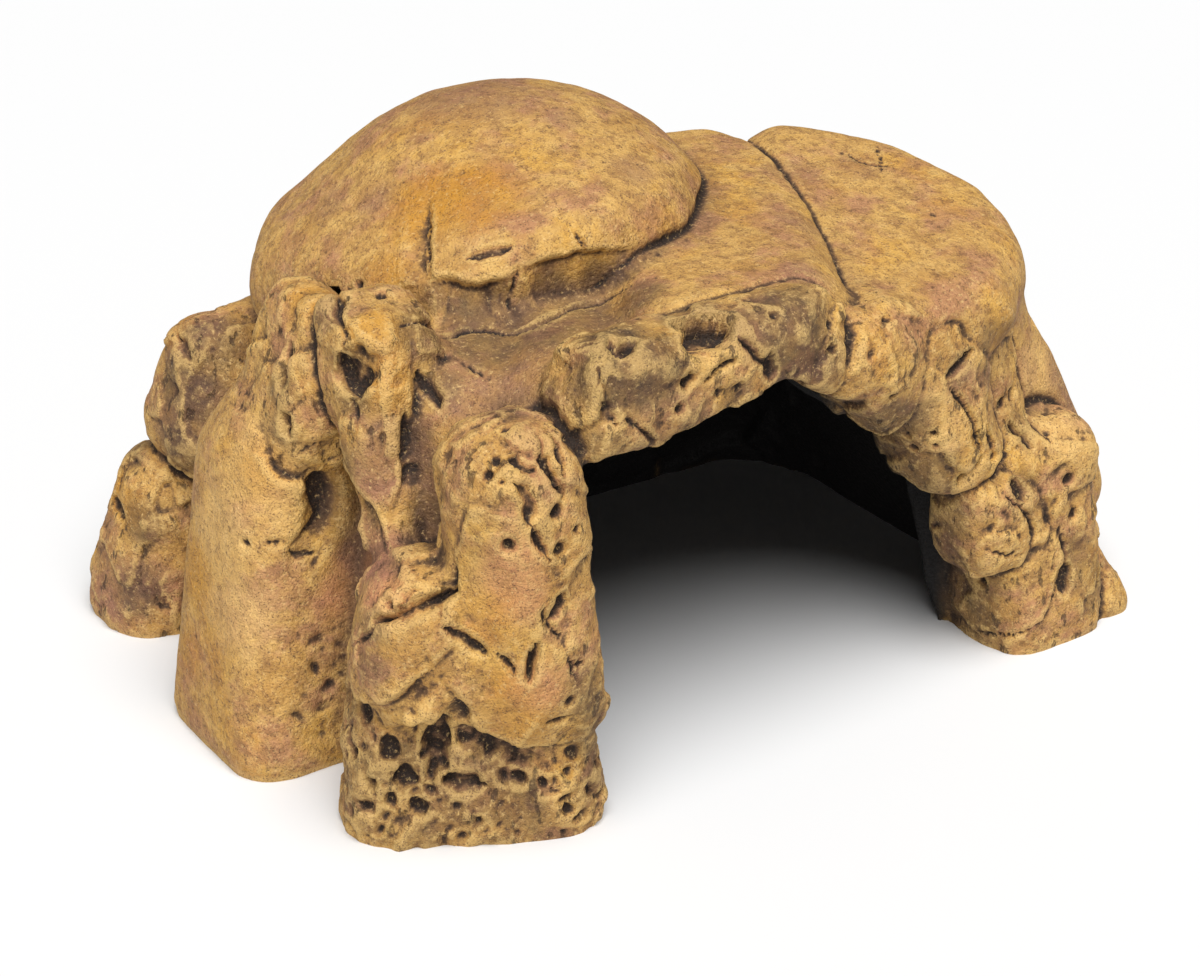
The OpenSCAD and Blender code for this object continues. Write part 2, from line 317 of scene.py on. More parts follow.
class Skin:
    """The fused surface while it is being sculpted."""

    def __init__(self):
        self.co, self.quads = fused_skin()
        self.edges = np.unique(np.sort(sides_of(self.quads), axis=1), axis=0)
        self.degree = np.bincount(self.edges.ravel(), minlength=len(self.co)).astype(float)
        self.base = self.co[:, 2] < BASE_HEIGHT
        self.owner = self.find_owner()
        corner = self.owner[self.quads]
        self.quad_owner = np.where(corner[:, 0] == corner[:, 2], corner[:, 0], corner[:, 1])
        self.seed = FIRST_SEED
        self.cut = np.zeros(len(self.co))
        self.lift = np.zeros(len(self.co))

    def mean_of_neighbours(self, values):
        a, b = self.edges.T
        count = len(self.co)
        columns = [(np.bincount(a, values[b, k], count) + np.bincount(b, values[a, k], count))
                   / self.degree for k in range(values.shape[1])]
        return np.stack(columns, axis=1)

    def relaxed(self, values, rounds):
        """The values at the corners, evened out between neighbours."""
        values = values if values.ndim == 2 else values[:, None]
        for _ in range(rounds):
            values = (values + self.mean_of_neighbours(values)) / 2
        return values

    def stages(self, all_rounds):
        """The skin's corners evened out more and more, one result for each number of rounds."""
        results = [self.co]
        for rounds in all_rounds:
            results.append(self.relaxed(results[-1], rounds))
        return results[1:]

    def normals(self, co=None):
        """The outward directions at the corners, for the skin or for another copy of it."""
        co = self.co if co is None else co
        corner = co[self.quads]
        face = np.cross(corner[:, 2] - corner[:, 0], corner[:, 3] - corner[:, 1])
        total = np.stack([np.bincount(self.quads.ravel(), np.repeat(face[:, k], 4), len(co))
                          for k in range(3)], axis=1)
        return total / np.maximum(np.linalg.norm(total, axis=1, keepdims=True), 1e-12)

    def find_owner(self):
        """The CAD node that each corner lies on, with ragged borders evened out."""
        points, polygons, node_of = cad_surface()
        tree = BVHTree.FromPolygons(points.tolist(), polygons)
        owner = np.array([node_of[tree.find_nearest(c)[2]] for c in self.co])
        a, b = self.edges.T
        for _ in range(OWNER_ROUNDS):
            votes = np.zeros((len(self.co), len(names)), dtype=np.float32)
            np.add.at(votes, (a, owner[b]), 1)
            np.add.at(votes, (b, owner[a]), 1)
            votes[np.arange(len(owner)), owner] += OWN_VOTE
            owner = votes.argmax(axis=1)
        return owner

    def on(self, *stones, rounds=BORDER_ROUNDS):
        """1 on the named stones, 0 elsewhere, with a soft border."""
        here = np.isin(self.owner, [names.index(s) for s in stones]).astype(float)
        return self.relaxed(here, rounds)[:, 0]

    def measure(self):
        """Normals and a search tree of the skin as it is now."""
        self.way = self.normals(self.relaxed(self.co, TRACE_ROUNDS))
        self.tree = KDTree(len(self.co))
        for i, c in enumerate(self.co):
            self.tree.insert(c, i)
        self.tree.balance()

    def face(self, stone):
        """Places given next are shares of this stone's width and height, seen from the camera's side."""
        turn = radians(VIEW_AZIMUTH)
        right = np.array([cos(turn), sin(turn), 0])
        toward = np.array(direction(VIEW_AZIMUTH, VIEW_ELEVATION))
        self.seen = self.co @ np.stack([right, np.cross(toward, right), toward], axis=1)
        own = self.seen[self.owner == names.index(stone), :2]
        self.corner, self.extent = own.min(axis=0), np.ptp(own, axis=0)

    def place(self, spot):
        """The foremost point of the skin at that share of the stone's width and height."""
        off = np.linalg.norm(self.seen[:, :2] - self.corner - self.extent * np.array(spot), axis=1)
        near = np.nonzero(off < off.min() + NEAR)[0]
        return self.co[near[self.seen[near, 2].argmax()]]

    def trace(self, points, wobble):
        """A smooth, slightly crooked line through the places, laid on the skin, and its normals."""
        self.seed += SEED_STEP
        p = np.array([self.place(spot) for spot in points])
        if len(p) > 1:
            p = np.concatenate([[2 * p[0] - p[1]], p, [2 * p[-1] - p[-2]]])
            line = []
            # a Catmull-Rom curve, which goes through every place
            for a, b, c, d in zip(p[:-3], p[1:-2], p[2:-1], p[3:]):
                steps = max(2, int(np.linalg.norm(c - b) / LINE_STEP))
                t = np.linspace(0, 1, steps, endpoint=False)[:, None]
                line.append(0.5 * (2 * b + (c - a) * t + (2 * a - 5 * b + 4 * c - d) * t ** 2
                                   + (3 * b - a - 3 * c + d) * t ** 3))
            p = np.concatenate(line + [p[-2:-1]])
        p = warped(p, WOBBLE_SIZE, wobble, self.seed)
        found = [self.tree.find(q)[1] for q in p]
        line, way = self.co[found], self.way[found]
        if len(line) > 4:
            for _ in range(2):
                line[1:-1] = (line[:-2] + 2 * line[1:-1] + line[2:]) / 4
        return line, way

    def nearest_on(self, line, reach):
        """The corners within reach of the line, how far off they are and the nearest line point."""
        low, high = line.min(axis=0) - reach, line.max(axis=0) + reach
        near = np.nonzero(np.all((self.co > low) & (self.co < high), axis=1))[0]
        co = self.co[near]
        best, which = np.full(len(co), 1e9), np.zeros(len(co), dtype=int)
        for i, spot in enumerate(line):
            d = np.linalg.norm(co - spot, axis=1)
            closer = d < best
            best = np.where(closer, d, best)
            which = np.where(closer, i, which)
        return near, best, which

    def dig(self, near, depth):
        """Cuts those corners to at least that depth."""
        self.cut[near] = np.maximum(self.cut[near], depth)

    def crack(self, width, depth, *points, wobble=0.7):
        """A sharp groove of that width and depth along the points."""
        line, _ = self.trace(points, wobble)
        near, far, which = self.nearest_on(line, width)
        vary = 1 + CRACK_VARY * smooth_noise(self.co[near], WOBBLE_SIZE, self.seed)
        vary = tapered(len(line))[which] * vary
        self.dig(near, depth * vary * (1 - ramp(far / (width / 2 * vary), 0.1, 1.0)))

    def hollow(self, width, depth, *points, floor=0.3, wobble=0.5):
        """A rounded hollow of that width and depth along the points, with a ragged outline."""
        line, _ = self.trace(points, wobble)
        near, far, which = self.nearest_on(line, width)
        ragged = 1 + RAGGED * layered_noise(self.co[near], width * 0.6 + 1, 2, self.seed)
        share = far * ragged / (width / 2 * tapered(len(line))[which])
        self.dig(near, depth * (1 - ramp(share, floor, 1.0)))

    def pits(self, width, depth, *spots):
        """A small hollow at each place."""
        for spot in spots:
            self.hollow(width, depth, spot)

    def swell(self, width, height, *points, wobble=0.3):
        """A rounded ridge or bulge."""
        line, _ = self.trace(points, wobble)
        near, far, _ = self.nearest_on(line, width)
        self.lift[near] = np.maximum(self.lift[near], height * (1 - ramp(far, 0, width / 2)))

    def ledge(self, drop, reach, *points, hold=0.0, wobble=0.8):
        """A broken edge: the stone right of the line, seen from outside, lies lower by drop.
        hold is the share of the reach over which it stays that low."""
        line, way = self.trace(points, wobble)
        near, far, which = self.nearest_on(line, reach)
        along = np.gradient(line, axis=0)
        along /= np.maximum(np.linalg.norm(along, axis=1, keepdims=True), 1e-9)
        right = np.cross(along, way)[which]
        across = np.sum((self.co[near] - line[which]) * right, axis=1)
        vary = 1 + LEDGE_VARY * smooth_noise(self.co[near], 6.0, self.seed)
        vary = tapered(len(line))[which] * vary
        self.dig(near, drop * vary * ramp(across, -EDGE, EDGE) * (1 - ramp(far / reach, hold, 1)))

    def groove_between(self, one, other, width, depth):
        """Deepens the crease where two stones meet; their soft borders overlap there."""
        self.seed += SEED_STEP
        rounds = int(GROOVE_ROUNDS * width)
        meet = 4 * self.on(one, rounds=rounds) * self.on(other, rounds=rounds)
        self.cut = np.maximum(self.cut, depth * meet * (0.8 + 0.5 * smooth_noise(self.co, 8.0, self.seed)))

    # ------------------------------------------------------------ shape

    def smooth_out(self):
        """Evens out the facets of the CAD stones, the dome and slabs more than the rough stones."""
        sharp, even, rounded, runny = self.stages(FORM_ROUNDS)
        slabs = self.on("middle_roof_slab", "right_roof_slab", "left_wall_slab", "cave_shell")
        dome = self.on("dome_capstone")
        # rough stones keep most of their facets
        calm = 0.35 + 0.65 * np.maximum(slabs, dome)
        top = dome * ramp(self.co[:, 2], *DOME_BAND)
        co = sharp + (even - sharp) * calm[:, None]
        co = co + (rounded - co) * top[:, None]
        self.co = co + (runny - co) * self.zone(MELTED)[:, None]
        self.co[self.base, 2] = 0

    def zone(self, patches):
        """Soft-edged zones round the given places: (stone, radius, spots) each."""
        total = np.zeros(len(self.co))
        for stone, radius, spots in patches:
            self.face(stone)
            for spot in spots:
                far = np.linalg.norm(self.co - self.place(spot), axis=1)
                total = np.maximum(total, 1 - ramp(far, ZONE_CORE * radius, radius))
        return total

    def settle(self, rounds=0):
        """Moves the skin in by what has been cut and out by what swells, and keeps the base flat."""
        depth = self.relaxed(self.cut - self.lift, rounds)
        move = -self.normals(self.relaxed(self.co, MOVE_ROUNDS)) * depth
        calm = self.relaxed(move, BASE_ROUNDS)
        move[self.base] = calm[self.base]
        move[self.base, 2] = 0
        self.co = self.co + move
        self.co[:, 2] = np.maximum(self.co[:, 2], 0)
        self.co[self.base, 2] = 0
        self.cut[:] = 0
        self.lift[:] = 0
        self.measure()

    def carve(self):
        """Broad forms first, then the marks of each stone, then wear all over."""
        self.rough = self.on(*ROUGH_STONES) * (1 - SMOOTH_SHARE * self.zone(SMOOTH))
        self.back = self.on("cave_shell") * ramp(self.co[:, 1], *BACK_BAND)
        self.rough = np.maximum(self.rough, BACK_ROUGH * self.back)
        self.foot = self.on("left_foot_stone") * ramp(self.co[:, 2], *FOOT_BAND)
        self.pitted = PITTED_SHARE * self.zone(PITTED)
        self.measure()
        broad_forms(self)
        self.settle(rounds=3)
        cracks_between_stones(self)
        for marks in (dome_marks, roof_marks, brow_marks, wedge_marks, valley_marks, pillar_marks,
                      lobe_marks, foot_marks, wall_marks, lintel_marks, arch_marks, right_side_marks,
                      rear_marks):
            marks(self)
        self.settle()
        self.cut = weathering(self)
        self.settle(rounds=1)
        self.way = self.normals()

    def find_core(self):
        """Evens the marks out of the skin and sinks each corner inward. In a tight crease between
        two stones it can still come out in front of the skin."""
        even = self.relaxed(self.co, CORE_ROUNDS)
        way = self.normals(even)
        rise = np.sum((even - self.co) * way, axis=1).clip(0)
        self.core = even - way * (CORE_DEPTH + rise)[:, None]
        self.core[:, 2] = np.maximum(self.core[:, 2], CORE_FLOOR)

    # ------------------------------------------------------------ paint

    def patch(self, colour, radius, strength, *spots):
        """Soft-edged patches of one colour around each place: a wash, which in some places is painted shade.
        """
        for spot in spots:
            far = np.linalg.norm(self.co - self.place(spot), axis=1)
            far *= 1 + RAGGED * self.mottle
            here = strength * (1 - ramp(far, PATCH_CORE * radius, radius))
            self.paint[colour] = np.maximum(self.paint[colour], here)

    def seen_from(self, middle):
        """1 at the corners of the skin that are in plain sight from that point."""
        middle = Vector(middle)
        tree = BVHTree.FromPolygons(self.co.tolist(), self.quads.tolist())
        seen = np.zeros(len(self.co))
        for i, corner in enumerate(self.co):
            way = Vector(corner) - middle
            hit = tree.ray_cast(middle, way.normalized(), way.length - SIGHT_SLACK)
            seen[i] = hit[0] is None
        return seen

    def find_paint(self):
        """Where the washes, the painted shade and the painted highlight lie: in hollows, on raised edges, in
        coloured patches and in the chamber.
        """
        near, wide, vast = self.stages(PAINT_ROUNDS)
        fine = np.sum((near - self.co) * self.way, axis=1)
        broad = np.sum((wide - self.co) * self.way, axis=1)
        deep = np.sum((vast - self.co) * self.normals(wide), axis=1)
        self.mottle = layered_noise(self.co, 9.0, 3, 51)
        self.paint = {name: np.zeros(len(self.co)) for name, _ in WASHES}
        paint_patches(self)
        seen = self.relaxed(self.seen_from(CHAMBER_MIDDLE), SIGHT_ROUNDS)[:, 0]
        # painted shade: nearly black on the chamber's walls that can be seen from its middle
        self.paint["inside"] = seen * ramp(self.co[:, 1], *INSIDE_BAND)
        # painted shade on the mouth's own walls, laid in with the dark brown wash
        jamb_shade = JAMB_SHADE * seen * ramp(self.co[:, 1], *JAMB_SHADE_BAND)
        self.paint["umber_and_shade"] = np.maximum(self.paint["umber_and_shade"], jamb_shade)
        # how sunken the skin is, finely, broadly and very broadly; from these the material paints shade in
        # hollows and a highlight on raised edges
        # 0.5 is level skin, and more is a hollow
        self.paint["hollow"] = np.clip(0.5 + fine * 1.1, 0, 1)
        self.paint["broad"] = np.clip(0.5 + broad * 0.30, 0, 1)
        self.paint["deep"] = ramp(deep, 0.2, 2.4)
        self.paint["rough"] = self.rough


# ---------------------------------------------------------------- marks
# Each mark has its sizes in mm, then its places as shares of the stone's width and height.

def broad_forms(s):
    """Hollows too broad for a mark."""
    s.cut = s.rough * (layered_noise(s.co, 14.0, 2, 21) + 0.3).clip(0, 2)
    s.cut += 3.0 * s.back * (layered_noise(s.co, 30.0, 2, 61) + 0.4).clip(0, 1.2)
    s.cut += s.back * chips(s.co, 24.0, 0.14, 63)
    s.face("left_brow_stone")
    s.hollow(13, 3.0, (0.95, 0.6), (0.95, 0.45))
    s.face("left_wedge_stone")
    s.hollow(14, 2.5, (0.0, 0.2), (0.3, 0.05))
    s.hollow(12, 1.5, (1.1, 0.4), (0.9, 0.2))


def cracks_between_stones(s):
    """Pairs of stones, and the width and depth of the crease between them in mm."""
    for one, other, width, depth in (
            ("dome_capstone", "middle_roof_slab", 2.4, 1.4),
            ("middle_roof_slab", "right_roof_slab", 1.8, 1.2),
            ("left_brow_stone", "left_wedge_stone", 2.6, 1.8),
            ("left_foot_stone", "left_wall_slab", 4.0, 2.6),
            ("left_lobe_stone", "left_wall_slab", 3.0, 1.6),
            ("lintel_stone", "left_pillar_stone", 3.5, 2.6),
            ("lintel_stone", "middle_roof_slab", 1.8, 0.8),
            ("lintel_stone", "arch_crown_stone", 3.0, 1.8),
            ("arch_crown_stone", "right_arch_stone", 1.6, 0.6),
            ("right_arch_stone", "right_cheek_stone", 2.6, 1.8),
            ("right_cheek_stone", "right_shoulder_stone", 2.6, 1.4),
            ("right_arch_stone", "right_roof_slab", 2.0, 0.8),
            ("right_arch_stone", "right_foot_stone", 2.6, 1.6),
            ("right_arch_stone", "right_knuckle_stone", 2.6, 1.6),
            ("right_knuckle_stone", "right_foot_stone", 2.0, 0.8),
            ("right_foot_stone", "right_heel_stone", 2.4, 1.2),
            ("right_foot_stone", "right_shoulder_stone", 2.6, 1.6),
            ("right_shoulder_stone", "right_heel_stone", 2.4, 1.2),
            ("rear_upper_boulder", "rear_lower_boulder", 4.0, 2.6),
            ("rear_upper_boulder", "cave_shell", 4.0, 2.0),
            ("rear_lower_boulder", "cave_shell", 4.0, 2.0)):
        s.groove_between(one, other, width, depth)


def dome_marks(s):
    s.face("dome_capstone")
    # the notch, with the stone lower on its left
    s.ledge(1.8, 6, (0.42, 0.45), (0.42, 0.2))
    s.crack(2.0, 1.6, (0.42, 0.45), (0.42, 0.2))
    # the broken face of the lip in two steps, and the dark line under it
    s.ledge(2.2, 13, (0.42, 0.2), (0.5, 0.17), (0.6, 0.18), hold=0.2, wobble=1.2)
    s.ledge(1.8, 12, (0.62, 0.22), (0.72, 0.25), (0.85, 0.3), hold=0.2, wobble=1.2)
    s.crack(2.6, 2.0, (0.4, 0.04), (0.5, 0.05), (0.63, 0.05), (0.75, 0.14), (0.88, 0.22), wobble=0.4)
    s.crack(1.8, 1.6, (0.62, 0.22), (0.6, 0.08))
    s.hollow(3.0, 1.4, (0.5, 0.27), (0.6, 0.31))
    s.crack(1.8, 1.2, (0.72, 0.38), (0.75, 0.28), (0.74, 0.2))
    s.pits(2.6, 1.4, (0.1, 0.2), (0.27, 0.18), (0.35, 0.15))


def roof_marks(s):
    s.face("right_roof_slab")
    s.crack(1.8, 1.2, (0.35, 0.9), (0.45, 0.85), (0.55, 0.85))
    s.crack(1.4, 0.8, (0.5, 0.95), (0.5, 0.8))
    s.hollow(2.2, 0.6, (0.65, 0.65))


def brow_marks(s):
    s.face("left_brow_stone")
    s.crack(2.6, 2.2, (0.8, 0.95), (0.85, 0.75), (0.85, 0.6))
    s.hollow(8, 2.4, (0.9, 0.55), (0.95, 0.4))
    s.hollow(3.4, 2.2, (0.45, 0.65), (0.4, 0.45))
    s.hollow(3.6, 2.4, (0.4, 0.35), (0.45, 0.2))
    s.crack(2.2, 1.2, (0.45, 0.1), (0.8, 0.15))


def wedge_marks(s):
    s.face("left_wedge_stone")
    s.ledge(2.0, 8, (0.05, 0.4), (0.3, 0.25), (0.6, 0.05), hold=0.3)
    s.ledge(1.4, 7, (0.65, 0.15), (0.75, 0.4), (0.8, 0.55), (0.8, 0.75))
    s.hollow(4, 1.8, (0.75, 0.5), (0.75, 0.35))
    s.hollow(4.4, 2.2, (0.85, 0.65), (0.9, 0.55))
    s.crack(1.6, 1.0, (0.25, 0.6), (0.35, 0.45))


def valley_marks(s):
    s.face("left_wedge_stone")
    s.crack(1.6, 1.0, (1.1, 0.72), (1.3, 0.66))
    s.ledge(1.0, 6, (1.0, 0.42), (1.35, 0.52))


def pillar_marks(s):
    s.face("left_pillar_stone")
    # slots and pits near the top
    s.hollow(2.4, 2.4, (0.63, 0.92), (0.7, 0.83), (0.8, 0.75))
    s.hollow(2.0, 2.0, (0.72, 0.92), (0.8, 0.8))
    s.hollow(2.2, 1.8, (0.5, 0.87), (0.55, 0.83), (0.63, 0.83))
    s.hollow(4.4, 1.8, (0.52, 0.78), (0.6, 0.73), (0.6, 0.67))
    s.pits(2.2, 1.4, (0.32, 0.82), (0.36, 0.86), (0.43, 0.95), (0.4, 0.8), (0.57, 0.82), (0.85, 0.65))
    s.pits(4.0, 2.0, (0.75, 0.7), (0.77, 0.6), (0.46, 0.6))
    s.crack(2.2, 1.8, (0.6, 0.65), (0.7, 0.58))
    # the ragged edge of the smooth skin below them
    s.ledge(1.2, 9, (0.43, 0.68), (0.22, 0.7), (0.07, 0.57))
    s.ledge(1.8, 5, (0.1, 0.57), (0.12, 0.4))
    s.hollow(3.6, 1.6, (0.1, 0.38), (0.3, 0.3))
    s.crack(1.8, 1.6, (0.37, 0.3), (0.43, 0.25))
    s.hollow(3.2, 2.6, (0.63, 0.33), (0.55, 0.22))
    s.ledge(2.2, 7, (0.08, 0.25), (0.25, 0.07), (0.5, 0.03), (0.75, 0.03), hold=0.4)
    # its broken right side
    s.crack(1.8, 1.4, (0.7, 0.47), (0.66, 0.4), (0.8, 0.35))
    s.hollow(3.4, 2.0, (0.8, 0.48), (0.72, 0.4))
    s.crack(1.6, 1.2, (0.8, 0.3), (0.85, 0.23))
    s.crack(1.6, 1.2, (0.66, 0.1), (0.8, 0.12))
    s.pits(2.8, 1.6, (0.87, 0.28), (0.82, 0.17))


def lobe_marks(s):
    s.face("left_lobe_stone")
    s.hollow(3.8, 3.6, (0.2, 0.6), (0.5, 0.65), (0.75, 0.75), floor=0.4)
    s.pits(3.2, 2.2, (0.4, 0.72), (0.3, 0.68))
    s.crack(1.6, 1.0, (0.03, 0.43), (0.2, 0.55))
    s.ledge(2.6, 7, (0.0, 0.17), (0.35, 0.15), (0.7, 0.35), hold=0.4)


def foot_marks(s):
    s.face("left_foot_stone")
    s.hollow(6.5, 3.0, (0.42, 0.52), (0.38, 0.3))
    s.hollow(6, 2.4, (0.43, 0.28), (0.56, 0.26))
    s.pits(4.2, 2.2, (0.2, 0.4), (0.13, 0.28), (0.27, 0.27), (0.33, 0.15), (0.62, 0.4), (0.7, 0.27))
    s.pits(3.6, 1.8, (0.1, 0.17), (0.2, 0.2), (0.55, 0.1), (0.78, 0.26), (0.88, 0.14), (0.05, 0.4))


def wall_marks(s):
    s.face("left_wall_slab")
    s.ledge(1.5, 8, (0.63, 0.54), (0.74, 0.67), (0.5, 0.78), hold=0.3)
    s.ledge(1.0, 6, (0.84, 0.6), (0.74, 0.5))
    s.hollow(3.0, 1.6, (0.66, 0.55), (0.74, 0.54))
    s.pits(2.2, 1.2, (0.75, 0.6), (0.42, 0.57))
    s.crack(1.6, 0.9, (0.5, 0.56), (0.63, 0.57))


def lintel_marks(s):
    s.face("lintel_stone")
    # the squarish recess
    s.hollow(11, 5.0, (0.45, 0.76), (0.52, 0.74), (0.6, 0.77), floor=0.7, wobble=0.2)
    s.hollow(7, 4.0, (0.5, 0.64), floor=0.6)
    # holes and creases round it
    s.crack(2.2, 1.8, (0.63, 0.65), (0.72, 0.5))
    s.hollow(4.2, 2.6, (0.23, 0.66), (0.26, 0.6), (0.3, 0.66), floor=0.5)
    s.crack(1.6, 0.9, (0.1, 0.58), (0.18, 0.63))
    s.hollow(2.0, 2.0, (0.53, 0.43), (0.62, 0.53))
    s.hollow(3.6, 2.0, (0.48, 0.45), (0.47, 0.38))
    s.pits(3.2, 2.4, (0.46, 0.3))
    s.crack(1.8, 1.4, (0.18, 0.5), (0.2, 0.35))
    s.hollow(3.2, 1.4, (0.2, 0.3), (0.26, 0.2))
    s.crack(2.2, 2.0, (0.29, 0.24), (0.37, 0.12))
    s.hollow(3.4, 2.0, (0.73, 0.56), (0.75, 0.45))
    s.pits(2.6, 1.4, (0.58, 0.38), (0.64, 0.4), (0.74, 0.8))
    s.swell(9, 1.2, (0.32, 0.5), (0.4, 0.48))
    s.swell(7, 1.0, (0.84, 0.68))
    s.swell(6, 0.9, (0.58, 0.57), (0.66, 0.5))


def arch_marks(s):
    s.face("right_arch_stone")
    s.crack(1.8, 1.8, (0.53, 0.65), (0.75, 0.45), (0.82, 0.25))
    s.hollow(3.4, 1.8, (0.72, 0.82), (0.53, 0.68))
    s.crack(2.0, 1.4, (0.85, 0.4), (0.93, 0.25))
    s.hollow(3.6, 2.2, (0.82, 0.2), (0.65, 0.02))
    s.pits(2.2, 1.3, (0.3, 0.25), (0.45, 0.35), (0.25, 0.32), (0.5, 0.28))
    s.face("arch_crown_stone")
    s.pits(2.2, 1.3, (0.3, 0.52), (0.73, 0.2), (0.7, 0.77), (0.3, 0.7))


def right_side_marks(s):
    s.face("right_foot_stone")
    s.hollow(3.2, 2.2, (0.35, 0.89), (0.48, 0.8))
    s.hollow(3.8, 2.0, (0.45, 0.95), (0.6, 0.8))
    s.hollow(4.8, 2.6, (0.35, 0.7), (0.45, 0.6))
    s.crack(1.8, 1.6, (0.3, 0.65), (0.48, 0.52), (0.5, 0.4))
    s.crack(1.6, 1.0, (0.2, 0.4), (0.43, 0.4))
    s.crack(1.8, 1.4, (0.68, 0.5), (0.72, 0.37), (0.66, 0.22))
    s.hollow(4.2, 1.8, (0.74, 0.34), (0.73, 0.23))
    s.crack(1.6, 1.0, (0.2, 0.07), (0.55, 0.1))
    s.pits(3.4, 1.8, (0.75, 0.54), (0.7, 0.67), (0.23, 0.77), (0.2, 0.28), (0.38, 1.0), (0.3, 0.95))
    s.face("right_shoulder_stone")
    s.hollow(3, 1.6, (0.45, 0.92), (0.53, 0.83))
    s.crack(1.4, 0.8, (0.56, 0.76), (0.7, 0.68))
    s.crack(1.4, 0.8, (0.57, 0.65), (0.65, 0.58))


def rear_marks(s):
    s.face("rear_lower_boulder")
    s.hollow(4, 1.4, (0.15, 0.65), (0.25, 0.55))
    s.ledge(1.2, 6, (0.1, 0.8), (0.25, 0.9), (0.4, 0.8))
    s.face("rear_upper_boulder")
    s.hollow(5, 1.6, (0.25, 0.75), (0.35, 0.6))


def weathering(s):
    """Depth of wear all over: ripples on smooth stone, facets and pits on the rough stones."""
    co, rough = s.co, s.rough
    ripples = 0.30 * layered_noise(co, 9.0, 3, 11) + 0.14 * layered_noise(co, 3.0, 2, 13)
    specks = 0.5 * pitting(co, 4.0, 0.14, 17, 0.25) + 0.4 * pitting(co, 2.4, 0.10, 19, 0.35)
    facets = chips(co, 10.0, 0.12, 31) + chips(co, 4.5, 0.08, 33) + 0.25 * layered_noise(co, 3.5, 2, 35)
    pits = 0.8 * pitting(co, 4.0, 0.06, 41, 0.30) + 0.6 * pitting(co, 2.4, 0.12, 43, 0.36)
    honeycomb = 1.7 * pitting(co, 4.0, 0.85, 47, 0.60) + 0.9 * pitting(co, 2.4, 0.5, 49, 0.55)
    body = (ripples + specks) * (1 - rough) + (facets + pits) * rough
    return body + honeycomb * np.maximum(s.foot, s.pitted)


